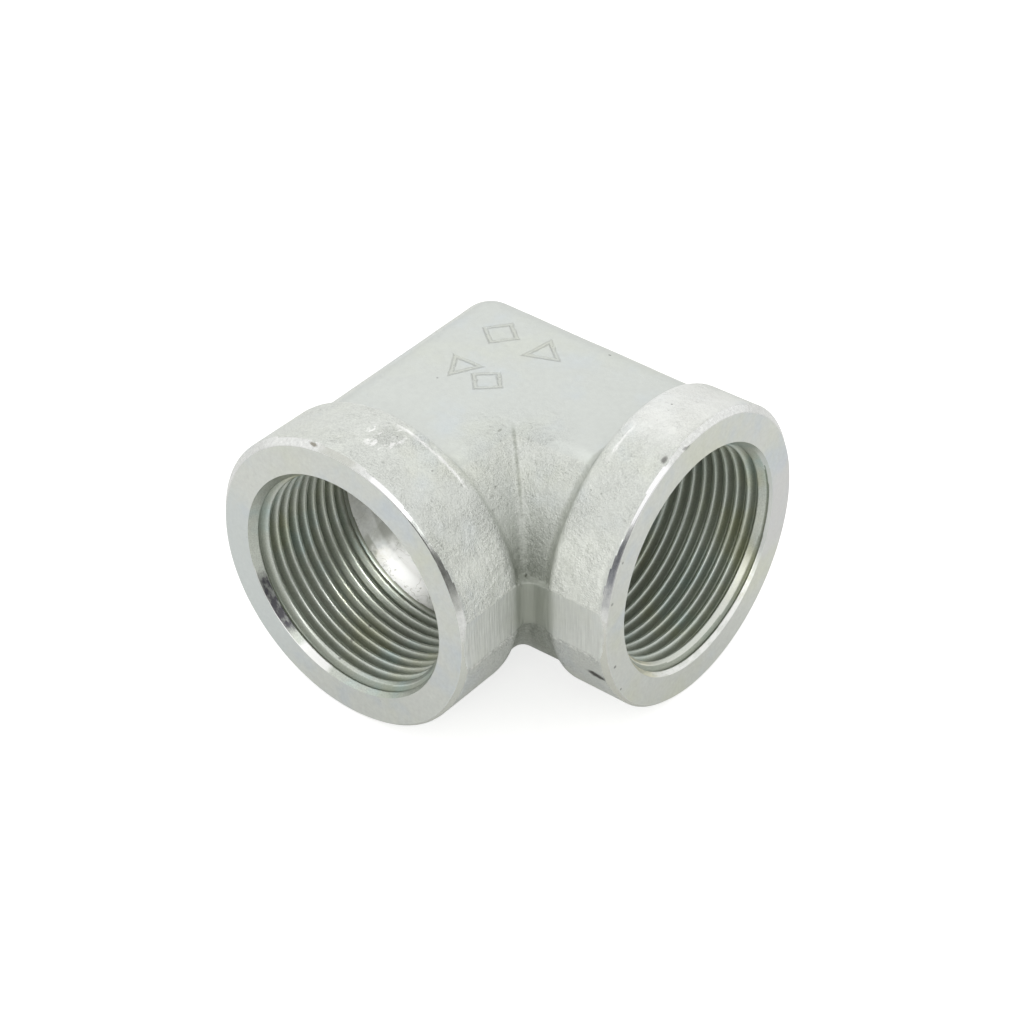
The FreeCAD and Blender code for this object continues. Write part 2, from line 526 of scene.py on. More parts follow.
@dataclass
class LegGrid:
    """Points of one leg's outside, from the mitre to the edge of its mouth."""

    port: Port
    probe: SolidProbe
    shoulder: float
    columns: int = 480
    rows: int = 146
    chamfer_rows: int = 14
    ring_rows: int = 9
    chamfer_reach: float = 2.4 * MM
    ring_radius: float = 26.45 * MM
    edge: float = 0.05 * MM
    band_turn: float = math.radians(10.0)
    crowd_turn: float = math.radians(0.9)
    crowding: float = 6.0
    turn_steps: int = 14401
    probes: int = 130
    probe_step: float = 0.09 * MM
    probe_gap: float = 0.02 * MM
    before_shoulder: float = 3.2 * MM
    past_shoulder: float = 2.6 * MM
    ledge_turn: float = math.radians(14.0)
    ledge_hold: float = 1.6
    ledge_fade: float = 0.5 * MM
    ledge_passes: int = 24
    wide_middle: float = math.radians(182.0)
    wide_reach: float = math.radians(50.0)
    wide_fade: float = math.radians(30.0)
    wide_inset: float = 0.40 * MM
    wide_slope: float = 0.7

    def forged_rows(self) -> int:
        """Number of rows whose skin is forged."""
        return self.rows + self.chamfer_rows - 1

    def limit(self, turn: np.ndarray, from_face: Any) -> np.ndarray:
        """Radius that the outer chamfer leaves, wider on the crotch side.

        Args:
            turn: Angles from the outer side.
            from_face: Distances behind the end face.

        Returns:
            The radii.
        """
        off = np.abs(np.mod(turn, FULL_TURN) - self.wide_middle)
        near = np.clip((self.wide_reach - off) / self.wide_fade, 0, 1)
        near = near * near * (3 - 2 * near)
        return self.ring_radius + from_face - near * (self.wide_inset + (1 - self.wide_slope) * from_face)

    def turns(self) -> np.ndarray:
        """Angles of the columns, closer together along the edges of the trimmed band.

        Returns:
            The angles from the outer side.
        """
        fine = np.linspace(0, FULL_TURN, self.turn_steps)
        density = np.ones_like(fine)
        for middle, side in ((0, 1), (math.pi, -1), (math.pi, 1), (FULL_TURN, -1)):
            centre = middle + side * self.band_turn
            density += self.crowding * np.exp(-((fine - centre) / self.crowd_turn) ** 2)
        total = np.concatenate(([0], np.cumsum((density[1:] + density[:-1]) / 2)))
        return np.interp(np.linspace(0, total[-1], self.columns, endpoint=False), total, fine)

    def forged_column(self, turn: float, end: float) -> tuple[np.ndarray, np.ndarray]:
        """One line of the forged skin, at even steps along its outline.

        Args:
            turn: Angle of the line from the outer side.
            end: Distance along the axis where the line ends.

        Returns:
            Distances along the axis and radii.
        """
        port, cosine, sine = self.port, math.cos(turn), math.sin(turn)
        side = port.outer * cosine + UP * sine
        mitre = side - port.axis * cosine
        radius = self.probe.way_out(port.crossing, mitre.normalized()) / mitre.length
        start = -radius * cosine
        near = np.arange(max(start, self.shoulder - self.before_shoulder) + self.probe_gap,
                         self.shoulder + self.past_shoulder, self.probe_step)
        along = np.unique(np.concatenate((np.linspace(start, end, self.probes)[1:], near)))
        radii = [self.probe.way_out(port.crossing + port.axis * float(t), side) for t in along]
        along = np.concatenate(([start], along))
        radii = np.concatenate(([radius], radii))
        gone = np.concatenate(([0], np.cumsum(np.hypot(np.diff(along), np.diff(radii)))))
        even = np.linspace(0, gone[-1], self.rows)
        return np.interp(even, gone, along), np.interp(even, gone, radii)

    def points(self) -> np.ndarray:
        """All points, by row from the mitre to the mouth's edge and by column round the axis.

        Returns:
            An array of rows, columns and coordinates.
        """
        turns, face = self.turns(), self.port.face
        end = face - self.chamfer_reach
        lines = [self.forged_column(float(turn), end) for turn in turns]
        along, radii = (np.array(side).T for side in zip(*lines))
        in_crotch = np.clip(self.ledge_hold - np.abs(turns - math.pi) / self.ledge_turn, 0, 1)[None, :]
        on_leg = np.clip((self.shoulder - along) / self.ledge_fade, 0, 1)
        for _ in range(self.ledge_passes):
            eased = (np.roll(radii, 1, 1) + np.roll(radii, -1, 1) + 2 * radii) / 4
            radii = radii + (eased - radii) * in_crotch * on_leg
        out = np.linspace(end, face, self.chamfer_rows + 1)[1:]
        rim = self.limit(turns, 0.0)
        ring = np.linspace(rim - self.edge, MOUTH_RADIUS + self.edge, self.ring_rows)
        ring = np.vstack((ring, np.full(self.columns, MOUTH_RADIUS)))
        along = np.vstack((along, np.repeat(out[:, None], self.columns, 1), np.full(ring.shape, face)))
        radii = np.vstack((radii, np.repeat(radii[-1:], self.chamfer_rows, 0), ring))
        return self.port.place(along, radii, turns[None, :])


@dataclass
class Skin:
    """Points that both legs are made of, one a row, and what was done to them."""

    plain: np.ndarray
    points: np.ndarray
    normals: np.ndarray
    machined: np.ndarray


@dataclass
class Leg:
    """One leg's share of the skin."""

    grid: LegGrid
    index: np.ndarray
    band_half_height: float = 4.6 * MM
    band_middle: float = 0.1 * MM
    wear_reach: int = 3
    tool_slack: float = 1e-7

    def faces(self) -> np.ndarray:
        """Faces between the leg's own points, turned outwards.

        Returns:
            Four point numbers a face.
        """
        own, port = np.arange(self.index.size).reshape(self.index.shape), self.grid.port
        here, beside = own[:-1], np.roll(own[:-1], -1, 1)
        ahead, across = own[1:], np.roll(own[1:], -1, 1)
        flip = port.outer.cross(UP).dot(port.axis) > 0
        order = (here, beside, across, ahead) if flip else (here, ahead, across, beside)
        return np.stack(order, -1).reshape(-1, 4)

    def turn_down(self, skin: Skin) -> None:
        """Turns down what stands past the outer chamfer.

        Args:
            skin: The skin, changed in place.
        """
        chosen, port = self.index[1:].ravel(), self.grid.port
        along, radius, turn = port.measure(skin.points[chosen])
        limit = self.grid.limit(turn, port.face - along)
        share = np.minimum(1, limit / np.maximum(radius, self.tool_slack))
        centre = np.array(port.crossing) + along[:, None] * np.array(port.axis)
        skin.points[chosen] = centre + (skin.points[chosen] - centre) * share[:, None]
        skin.machined[chosen] = radius > limit - self.tool_slack

    def wear(self, skin: Skin) -> np.ndarray:
        """How much each point stands out from the points before and behind it.

        Args:
            skin: The skin.

        Returns:
            Height over the neighbours in millimetres, negative in hollows.
        """
        result, reach = np.zeros(self.index.shape, np.float32), self.wear_reach
        inner = self.index[reach:-reach]
        around = (skin.points[self.index[:-2 * reach]] + skin.points[self.index[2 * reach:]]) / 2
        result[reach:-reach] = ((skin.points[inner] - around) * skin.normals[inner]).sum(-1) / MM
        return result.ravel()

    def zones(self, skin: Skin, faces: np.ndarray) -> np.ndarray:
        """How each face was made.

        Args:
            skin: The skin.
            faces: The leg's faces, by the skin's point numbers.

        Returns:
            The values of their zones.
        """
        rows, columns = self.index.shape
        height = np.abs(skin.plain[faces].mean(1)[:, 2] - self.grid.port.crossing.z - self.band_middle)
        zone = np.full(len(faces), Zone.FORGED.value, np.int32)
        zone[height < self.band_half_height] = Zone.TRIMMED.value
        zone[skin.machined[faces].all(1)] = Zone.CHAMFER.value
        zone[np.repeat(np.arange(rows - 1), columns) > self.grid.forged_rows()] = Zone.FACE.value
        return zone

    def build(self, skin: Skin, finish: dict[str, bpy.types.Material]) -> None:
        """Makes and dresses the leg's piece.

        Args:
            skin: The finished skin.
            finish: Materials of the leg.
        """
        used, faces = self.index.ravel(), self.faces()
        mesh = bpy.data.meshes.new("leg")
        mesh.from_pydata(skin.points[used].tolist(), [], faces.tolist())
        mesh.attributes.new("wear", "FLOAT", "POINT").data.foreach_set("value", self.wear(skin))
        for kind in Zone:
            mesh.materials.append(finish[kind.name.lower()])
        mesh.polygons.foreach_set("material_index", self.zones(skin, used[faces]))
        mesh.shade_smooth()
        mesh.normals_split_custom_set_from_vertices(skin.normals[used].tolist())
        dress(mesh, "leg_and_collar_" + self.grid.port.name[-1])


@dataclass
class ForgedBody:
    """Outside of the elbow: both legs and collars with their relief, chamfers and face rings."""

    ports: list[Port]
    probe: SolidProbe
    finishes: list[dict[str, bpy.types.Material]]
    relief: ForgedRelief
    nicks: Sequence[Nick]
    shoulders: tuple[float, float] = (28.0 * MM, 30.6 * MM)

    def build(self) -> None:
        """Builds and dresses the outside, one piece a leg, with the mitre's row in both."""
        grids = [LegGrid(port, self.probe, shoulder) for port, shoulder in zip(self.ports, self.shoulders)]
        first, second = (grid.points() for grid in grids)
        rows, columns, _ = first.shape
        index = np.arange(rows * columns).reshape(rows, columns)
        legs = [Leg(grids[0], index),
                Leg(grids[1], np.vstack((index[:1], index[1:] + (rows - 1) * columns)))]
        plain = np.vstack((first.reshape(-1, 3), second[1:].reshape(-1, 3)))
        forged = np.zeros(len(plain), np.float32)
        for leg in legs:
            forged[leg.index[:leg.grid.forged_rows()].ravel()] = 1
        mesh = bpy.data.meshes.new("outside")
        faces = np.vstack([leg.index.ravel()[leg.faces()] for leg in legs])
        mesh.from_pydata(plain.tolist(), [], faces.tolist())
        mesh.attributes.new("forged", "FLOAT", "POINT").data.foreach_set("value", forged)
        mesh.shade_smooth()
        cut = self.relief.cut(mesh, self.finishes[0][Zone.FORGED.name.lower()])
        skin = Skin(plain, read_rows(cut.vertices, "co"), read_rows(cut.vertex_normals, "vector"),
                    np.zeros(len(plain), bool))
        for nick in self.nicks:
            nick.press(skin.points, skin.normals)
        for leg in legs:
            leg.turn_down(skin)
        cut.vertices.foreach_set("co", skin.points.ravel())
        cut.update()
        skin.normals = read_rows(cut.vertex_normals, "vector")
        for leg, finish in zip(legs, self.finishes):
            leg.build(skin, finish)


def socket_type(value: Any) -> str:
    """Type of the socket that takes a number, a vector or a material."""
    return {int: "Int", float: "Float", tuple: "Vector"}.get(type(value), "Material")


@dataclass(frozen=True)
class PipeThread:
    """Right-handed pipe thread with its countersink, run-out and the plain bore behind it."""

    major_radius: float = 20.955 * MM
    pitch: float = 2.309 * MM
    crest_round: float = 0.317 * MM
    flank_angle: float = math.radians(27.5)
    mouth_radius: float = MOUTH_RADIUS
    sink_slope: float = 0.60
    run_out_start: float = 21.4 * MM
    run_out_end: float = 22.7 * MM
    drill_radius: float = DRILL_RADIUS
    columns: int = 320

    BORED_DEPTH = 25.5 * MM
    ROWS_PER_PITCH = 18
    MITRE_STEPS = 4
    WELD = 1e-6
    STARTS = (0.15 * MM, 0.5 * MM)

    def tree(self, inputs: dict[str, Any]) -> bpy.types.NodeTree:
        """Builds the tree of a thread whose rows follow the helix.

        Args:
            inputs: The tree's inputs.

        Returns:
            A tree that makes the bore's wall from the port's place and the thread's sizes.
        """
        sockets = {name: socket_type(value) for name, value in inputs.items()}
        group = Group("pipe_thread", "Geometry", sockets, {"geometry": "Geometry"})
        given, maths, vector = group.given, group.math, group.vector
        minor = given.minor_radius
        grid = group.value("GeometryNodeMeshGrid", {
            "Size X": 1.0, "Size Y": 1.0, "Vertices X": given.columns + 1.0, "Vertices Y": given.rows + 1.0})
        x, y, _ = group.parts(group.value("GeometryNodeInputPosition"))
        turn = x + 0.5
        run = (y + 0.5) * given.rows * given.row_step
        lead = turn * given.pitch
        angle = turn * FULL_TURN
        side = vector("SCALE", given.across, maths("COSINE", angle))
        side = vector("ADD", side, group.join(0.0, 0.0, maths("SINE", angle)))
        towards_other = vector("DOT_PRODUCT", side, given.other_axis)
        wall = minor
        for _ in range(self.MITRE_STEPS):
            mitre = given.face - wall * towards_other
            wall = group.ramp(mitre, given.run_out_end, given.end_depth, minor, given.drill_radius)
        depth = maths("MINIMUM", given.end_depth, mitre)
        depth = maths("MINIMUM", maths("MAXIMUM", run - lead, 0.0), depth)
        half = given.pitch * 0.5
        from_crest = maths("PINGPONG", depth + lead + given.start, half)
        near = maths("MINIMUM", from_crest, half - from_crest)
        rounded = given.crest_round * maths("COSINE", given.flank_angle)
        bent = maths("MINIMUM", near, rounded)
        bent = maths("POWER", given.crest_round, 2.0) - maths("POWER", bent, 2.0)
        flank = maths("MAXIMUM", near - rounded, 0.0)
        rise = given.crest_round - maths("SQRT", bent) + flank / maths("TANGENT", given.flank_angle)
        full = given.major_radius - minor
        rise = maths("GREATER_THAN", from_crest, half * 0.5) * (full - rise * 2.0) + rise
        tap = group.ramp(depth, given.run_out_start, given.run_out_end, given.major_radius, minor, "LINEAR")
        radius = maths("MINIMUM", minor + rise, tap)
        sink = given.mouth_radius - depth * given.sink_slope
        groove = (radius - minor) / full * maths("GREATER_THAN", radius, sink)
        groove -= maths("GREATER_THAN", depth, given.run_out_end)
        wall = group.ramp(depth, given.run_out_end, given.end_depth, minor, given.drill_radius)
        radius = group.most(radius, sink) - (minor - wall)
        inwards = vector("SCALE", given.axis, given.face - depth)
        spot = vector("ADD", vector("ADD", given.crossing, inwards), vector("SCALE", side, radius))
        kept = group.value("GeometryNodeStoreNamedAttribute",
                           {"Geometry": grid, "Name": "groove", "Value": groove},
                           data_type="FLOAT", domain="POINT")
        moved = group.value("GeometryNodeSetPosition", {"Geometry": kept, "Position": spot})
        closed = group.value("GeometryNodeMergeByDistance", {"Geometry": moved, "Distance": self.WELD})
        smooth = group.value("GeometryNodeSetShadeSmooth", {"Geometry": closed})
        groove = group.value("GeometryNodeInputNamedAttribute", {"Name": "groove"}, data_type="FLOAT")
        made = group.value("GeometryNodeSetMaterial", {
            "Geometry": group.realize(smooth, given.material), "Material": given.plain,
            "Selection": maths("LESS_THAN", groove, -0.5)})
        return group.finish(geometry=made)

    def inputs(self, port: Port, start: float, finish: dict[str, bpy.types.Material]) -> dict[str, Any]:
        """What the tree gets for one port.

        Args:
            port: The port.
            start: Where the first crest lies along the helix.
            finish: Materials of the port's side.

        Returns:
            The value of each input.
        """
        step = self.pitch / self.ROWS_PER_PITCH
        depth = self.BORED_DEPTH + port.minor_radius - self.drill_radius
        return {
            **asdict(self), "crossing": tuple(port.crossing), "axis": tuple(port.axis),
            "across": tuple(UP.cross(port.axis)), "other_axis": tuple(-port.outer), "face": port.face,
            "minor_radius": port.minor_radius, "end_depth": depth, "start": start, "row_step": step,
            "rows": math.ceil((depth + self.pitch) / step), "material": finish["thread"],
            "plain": finish["drilled"]}

    def build(self, ports: list[Port], finishes: list[dict[str, bpy.types.Material]]) -> None:
        """Builds and dresses both threads.

        Args:
            ports: Both ports.
            finishes: Materials of each port's side.
        """
        sets = [self.inputs(*each) for each in zip(ports, self.STARTS, finishes)]
        tree = self.tree(sets[0])
        for port, inputs in zip(ports, sets):
            mesh = grow(tree, inputs)
            face = mesh.polygons[len(mesh.polygons) // 2]
            centre = port.crossing + port.axis * port.axis.dot(face.center - port.crossing)
            if face.normal.dot(centre - face.center) < 0:
                mesh.flip_normals()
            dress(mesh, "thread_" + port.name[-1])


@dataclass(frozen=True)
class DrilledWays:
    """The two drilled ways where they cross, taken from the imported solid."""

    ports: list[Port]
    material: bpy.types.Material
    past_crossing: float = 19.0 * MM
    bored_depth: float = 26.3 * MM
    slack: float = 0.1 * MM

    DECIMALS = 7

    def build(self) -> None:
        """Builds and dresses the ways, with the solid's own normals."""
        source = frame["nodes"][NODE].data
        points = read_rows(source.vertices, "co")
        normals = read_rows(source.corner_normals, "vector")
        corners = np.array([tuple(triangle.vertices) for triangle in source.loop_triangles])
        loops = np.array([tuple(triangle.loops) for triangle in source.loop_triangles])
        inside = np.zeros(len(points), bool)
        for port in self.ports:
            along, radius, _ = port.measure(points)
            drilled = (along > -self.past_crossing) & (along < port.face - self.bored_depth)
            inside |= (radius < DRILL_RADIUS + self.slack) & drilled
        kept = inside[corners].all(1)
        corners, loops = corners[kept], loops[kept]
        corner_points = np.round(points[corners.ravel()], self.DECIMALS)
        places, merged = np.unique(corner_points, axis=0, return_inverse=True)
        faces = merged.reshape(-1, 3)
        solid = (faces != np.roll(faces, 1, 1)).all(1)
        mesh = bpy.data.meshes.new("drilled_ways")
        mesh.from_pydata(places.tolist(), [], faces[solid].tolist())
        mesh.materials.append(self.material)
        mesh.shade_smooth()
        mesh.normals_split_custom_set(normals[loops[solid].ravel()].tolist())
        dress(mesh, "drilled_ways")


@dataclass(frozen=True)
class ZincTint:
    """Warm and cool patches, mottle and specks of zinc plate."""

    warm_size: float = 13 * MM
    warm_band: Pair = (0.48, 0.72)
    cool_size: float = 10 * MM
    cool_band: Pair = (0.50, 0.74)
    mottle_size: float = 1.1 * MM
    mottle_share: float = 0.16
    mottle_dark: float = 0.92
    speck_cells: float = 380.0
    speck_rarity: float = 0.78
    speck_width: float = 0.13
    speck_least: float = 0.0005
    speck_colour: Triple = (0.2, 0.2, 0.19)

    WARM_SEED, COOL_SEED, MOTTLE_SEED = 1.7, 8.1, 4.4

    def tree(self) -> bpy.types.NodeTree:
        """Makes the group that colours the plate.

        Returns:
            The group.
        """
        group = Group("zinc_tint", "Shader", {
            "vector": "Vector", "base": "Color", "warm": "Color", "cool": "Color", "patchiness": "Float",
            "specks": "Float"}, {"colour": "Color", "mottle": "Float"})
        given, vector = group.given, group.given.vector
        warm = group.ramp(group.noise(vector, self.warm_size, 3.0, self.WARM_SEED), *self.warm_band)
        cool = group.ramp(group.noise(vector, self.cool_size, 3.0, self.COOL_SEED), *self.cool_band)
        mottle = group.noise(vector, self.mottle_size, 3.0, self.MOTTLE_SEED)
        colour = group.mix(warm * given.patchiness, given.base, given.warm)
        colour = group.mix(cool * given.patchiness, colour, given.cool)
        colour = group.mix(1.0, colour, mottle * self.mottle_share + self.mottle_dark, "MULTIPLY")
        speck = group.dots(vector, self.speck_cells, self.speck_rarity, self.speck_width,
                           least=self.speck_least)
        return group.finish(colour=group.mix(speck * given.specks, colour, self.speck_colour), mottle=mottle)


@dataclass(frozen=True)
class SteelGrain:
    """Fine grain and pits of forged steel."""

    coarse_over_fine: float = 3.0
    coarse_height: float = 1.2
    pit_cells: float = 620.0
    pit_rarity: float = 0.5
    pit_width: float = 0.36
    speckle_band: Pair = (0.30, 0.70)

    COARSE_SEED, FINE_SEED = 2.2, 6.6

    def tree(self) -> bpy.types.NodeTree:
        """Makes the group that gives the relief, the pits and a speckle from -1 to 1.

        Returns:
            The group.
        """
        group = Group("forged_grain", "Shader", {"vector": "Vector", "grain": "Float", "pits": "Float"},
                      {"height": "Float", "pit": "Float", "speckle": "Float"})
        given, vector = group.given, group.given.vector
        coarse = group.noise(vector, given.grain * self.coarse_over_fine, 2.0, self.COARSE_SEED)
        fine = group.noise(vector, given.grain, 4.0, self.FINE_SEED)
        pit = group.dots(vector, self.pit_cells, self.pit_rarity, self.pit_width, channel=1) * given.pits
        return group.finish(height=coarse * self.coarse_height + fine - pit, pit=pit,
                            speckle=group.ramp(fine, *self.speckle_band, -1.0, 1.0, "LINEAR"))


@dataclass(frozen=True)
class TurnedMarks:
    """Tool marks on turned faces and bores."""

    streak_over_feed: float = 5.0

    STREAK_SEED = 7.7

    def tree(self) -> bpy.types.NodeTree:
        """Makes the group that gives the marks and wider streaks of gloss.

        Returns:
            The group.
        """
        group = Group("turned_marks", "Shader", {
            "vector": "Vector", "crossing": "Vector", "axis": "Vector", "feed": "Float"},
            {"height": "Float", "streak": "Float"})
        given = group.given
        offset = group.vector("SUBTRACT", given.vector, given.crossing)
        along = group.vector("DOT_PRODUCT", offset, given.axis)
        across = group.vector("SUBTRACT", offset, group.vector("SCALE", given.axis, along))
        line = group.vector("LENGTH", across) - along
        streak = group.stripes(line, given.feed * self.streak_over_feed, self.STREAK_SEED)
        return group.finish(height=group.stripes(line, given.feed, 0.0), streak=streak)


@dataclass(frozen=True)
class StampedShapes:
    """Plain outlines that are stamped into the top flat.

    A shape is its place across the top in millimetres, its number of sides, the distance from its middle
    to a side in millimetres and its turn in radians.
    """

    shapes: tuple[tuple[float, float, int, float, float], ...] = (
        (-13.6, 14.8, 4, 2.32, 0.9), (-3.8, 14.7, 3, 1.674, 0.9), (-12.4, 2.9, 3, 1.55, -0.5),
        (-6.1, 1.9, 4, 2.08, 0.75))
    stroke: float = 0.6 * MM
    full_depth: float = 0.2
    waver: float = 0.5 * MM
    waver_size: float = 1.3 * MM
    worn_size: float = 1.1 * MM
    worn_band: Pair = (0.30, 0.50)
    worn_least: float = 0.60
    top: Pair = (49.2 * MM, 49.4 * MM)

    WAVER_SEED, WORN_SEED = 21.0, 5.0

    def tree(self) -> bpy.types.NodeTree:
        """Makes the group that finds the outlines.

        Returns:
            The group.
        """
        group = Group("stamped_shapes", "Shader", {"vector": "Vector"}, {"mark": "Float"})
        vector, lines = group.given.vector, []
        waver = (group.noise(vector, self.waver_size, 3.0, self.WAVER_SEED) - 0.5) * self.waver
        for x, y, sides, size, turn in self.shapes:
            here, there, _ = group.parts(group.local(vector, (x * MM, y * MM, 0), turn))
            angles = [FULL_TURN * side / sides for side in range(sides)]
            edge = group.most(*(here * math.cos(angle) + there * math.sin(angle) for angle in angles))
            off = abs(waver + edge - size * MM)
            lines.append(group.ramp(off, self.stroke * self.full_depth, self.stroke, 1.0, 0.0))
        worn = group.noise(vector, self.worn_size, 2.0, self.WORN_SEED)
        worn = group.ramp(worn, *self.worn_band, self.worn_least, 1.0)
        return group.finish(mark=group.most(*lines) * worn * group.ramp(group.parts(vector)[2], *self.top))


@dataclass(frozen=True)
class AroundPort:
    """Where a point lies round a port."""

    def tree(self) -> bpy.types.NodeTree:
        """Makes the group that measures it.

        Returns:
            The group. Its turn is in degrees from the outer side towards the top.
        """
        group = Group("around_port", "Shader", {
            "vector": "Vector", "crossing": "Vector", "axis": "Vector", "outer": "Vector",
            "face": "Float"}, {"turn": "Float", "depth": "Float"})
        given = group.given
        offset = group.vector("SUBTRACT", given.vector, given.crossing)
        out = group.vector("DOT_PRODUCT", offset, given.outer)
        turn = group.math("ARCTAN2", group.parts(offset)[2], out) * math.degrees(1)
        return group.finish(turn=turn, depth=given.face - group.vector("DOT_PRODUCT", offset, given.axis))


@dataclass(frozen=True)
class ForgeZones:
    """Where the forging is coarse or flat, dirt and painted shade in its crotch, and a painted edge highlight
    with some wear.

    Places and distances are in millimetres from the point where both port axes cross, but rough_places is in
    the row frame: a place and a reach each.
    """

    leg_end_a: float = 27.4
    leg_end_b: float = 30.0
    leg_fade: float = 0.8
    flat_height: float = 22.4
    flat_fade: Pair = (0.4, 0.9)
    flat_coarse: float = 0.12
    crotch_coarse: float = 0.9
    crotch_across: Pair = (16, 34)
    crotch_side: Pair = (8, 16)
    patch_size: float = 6
    patch_band: Pair = (0.35, 0.62)
    patch_coarse: Pair = (0.55, 1.1)
    rough_places: tuple[tuple[Triple, float], ...] = (((-3.5, -26.0, 54.5), 3.4), ((0.5, -22.8, 53.6), 2.6))
    rough_core: float = 0.4
    rough_coarse: float = 0.9
    collar_x: Pair = (10, 22)
    collar_past: Pair = (0.0, 1.5)
    collar_coarse: float = 0.7
    # Dirt with painted shade, darker low in the crotch's corner.
    grime_middle: Pair = (27.0, -25.5)
    grime_reach: Pair = (1.5, 15.5)
    grime_height: Pair = (20, 2)
    grime_share: Pair = (0.10, 0.76)
    grime_past: Pair = (0.6, 3.0)
    crease_size: float = 0.9
    crease_wander: float = 0.5
    crease_middle: float = 0.25
    crease_fade: Pair = (-0.05, 0.80)
    crease_across: Pair = (24, 30)
    crease_height: Pair = (10, 17)
    crease_share: Pair = (0.3, 0.55)
    spot_size: float = 0.5
    spot_band: Pair = (0.32, 0.66)
    spot_least: float = 0.70
    band_fade: Pair = (4, 5)
    # Dirt with painted shade stays strong and even on the trimmed band.
    band_grime: float = 0.95
    # Bright line along the trimmed band's edges: a painted highlight with some wear.
    edge_height: float = 5.0
    edge_fade: Pair = (0.05, 0.6)
    chip_size: float = 0.9
    chip_band: Pair = (0.42, 0.60)

    PATCH_SEED, CREASE_SEED, SPOT_SEED, CHIP_SEED = 12.0, 2.0, 15.0, 18.0

    def tree(self) -> bpy.types.NodeTree:
        """Makes the group that finds these places.

        Returns:
            The group.
        """
        group = Group("forge_zones", "Shader", {"vector": "Vector", "corner": "Vector"},
                      {"coarseness": "Float", "grime": "Float", "flat": "Float", "edge": "Float"})
        noise, vector = group.noise, group.given.vector
        x, y, z = group.parts(group.vector("SUBTRACT", vector, group.given.corner))
        past_a = y * -1.0 - self.leg_end_a * MM
        past = group.most(past_a, x - self.leg_end_b * MM)
        across, side = x - y, abs(x + y)
        on_leg = group.ramp(past, 0.0, self.leg_fade * MM, 1.0, 0.0)
        flat = group.fade(abs(abs(z) - self.flat_height * MM), self.flat_fade, (1.0, 0.0)) * on_leg
        near = group.fade(across, self.crotch_across)
        near *= group.fade(side, self.crotch_side, (1.0, 0.0))
        patchy = group.ramp(noise(vector, self.patch_size * MM, 2.0, self.PATCH_SEED), *self.patch_band,
                            *self.patch_coarse)
        coarse = patchy * (flat * (near * self.crotch_coarse + self.flat_coarse - 1.0) + 1.0)
        for place, reach in self.rough_places:
            far = group.vector("DISTANCE", vector, [value * MM for value in place])
            coarse += group.fade(far, (reach * self.rough_core, reach), (self.rough_coarse, 0.0))
        on_collar = group.fade(x, self.collar_x) * group.fade(past_a, self.collar_past)
        coarse *= on_collar * self.collar_coarse + 1.0
        # Dirt with painted shade: darker near the crotch's corner and towards the bottom.
        middle_x, middle_y = self.grime_middle
        far = group.vector("LENGTH", group.join(x - middle_x * MM, y - middle_y * MM))
        grime = group.fade(far, self.grime_reach, (1.0, 0.0))
        grime *= group.fade(z, self.grime_height, self.grime_share)
        # Dark line along the crotch's crease, partly painted shade, joined to the dirt.
        crease = group.stripes(z, self.crease_size * MM, self.CREASE_SEED) * (self.crease_wander * MM)
        crease = group.fade(crease + side - self.crease_middle * MM, self.crease_fade, (1.0, 0.0))
        crease *= group.fade(across, self.crease_across)
        crease *= group.fade(z, self.crease_height, self.crease_share)
        spotted = group.ramp(noise(vector, self.spot_size * MM, 3.0, self.SPOT_SEED), *self.spot_band,
                             self.spot_least, 1.0)
        spotted += (self.band_grime - spotted) * group.fade(abs(z), self.band_fade, (1.0, 0.0))
        grime = group.most(grime, crease) * spotted * group.fade(past, self.grime_past, (1.0, 0.0))
        # Painted highlight with some wear along the band's edges, broken into pieces.
        chipped = group.ramp(noise(vector, self.chip_size * MM, 3.0, self.CHIP_SEED), *self.chip_band)
        edge = group.fade(abs(abs(z) - self.edge_height * MM), self.edge_fade, (1.0, 0.0))
        return group.finish(coarseness=coarse, grime=grime, flat=flat, edge=edge * chipped * (1.0 - on_leg))


@dataclass(frozen=True)
class Arc:
    """Stretch round a port with a tone of its own, such as a stain, a painted glint or reflection, or painted
    shade.

    Turns are in degrees from the outer side towards the top, and depths in millimetres behind the face.
    """

    port: int
    start: float
    end: float
    near: float
    far: float
    colour: Triple
    share: float
    soft: float = 4.0
    edge: float = 0.25
    polish: float = 0.0
    broken: float = 0.0

    GAP_SIZE, GAP_SEED, GAP_BAND = 0.55 * MM, 13.0, (0.60, 0.44)
    A_DEGREE = 0.12 * MM

    def mask(self, wiring: Wiring, around: dict[str, Value], ragged: Value) -> Value:
        """Adds the nodes that find the stretch.

        Args:
            wiring: Where the nodes go.
            around: Where points lie round the stretch's port.
            ragged: Value from 0 to 1 that roughens the edges.

        Returns:
            The share of the tone.
        """
        turn, depth = around["turn"], around["depth"]
        middle, half = (self.start + self.end) / 2, (self.end - self.start) / 2
        off = ragged * self.soft + abs(wiring.math("WRAP", turn - middle, 180.0, -180.0))
        edge, reach = self.edge * MM, (self.far - self.near) / 2 * MM
        deep = ragged * edge + abs(depth - (self.near + self.far) / 2 * MM)
        gaps = wiring.noise(wiring.join(turn * self.A_DEGREE, depth), self.GAP_SIZE, 3.0, self.GAP_SEED)
        share = wiring.ramp(off, half + self.soft, half, 0.0, self.share)
        share *= wiring.ramp(deep, reach + edge, reach)
        return share * wiring.ramp(gaps, *self.GAP_BAND, 1.0 - self.broken, 1.0)


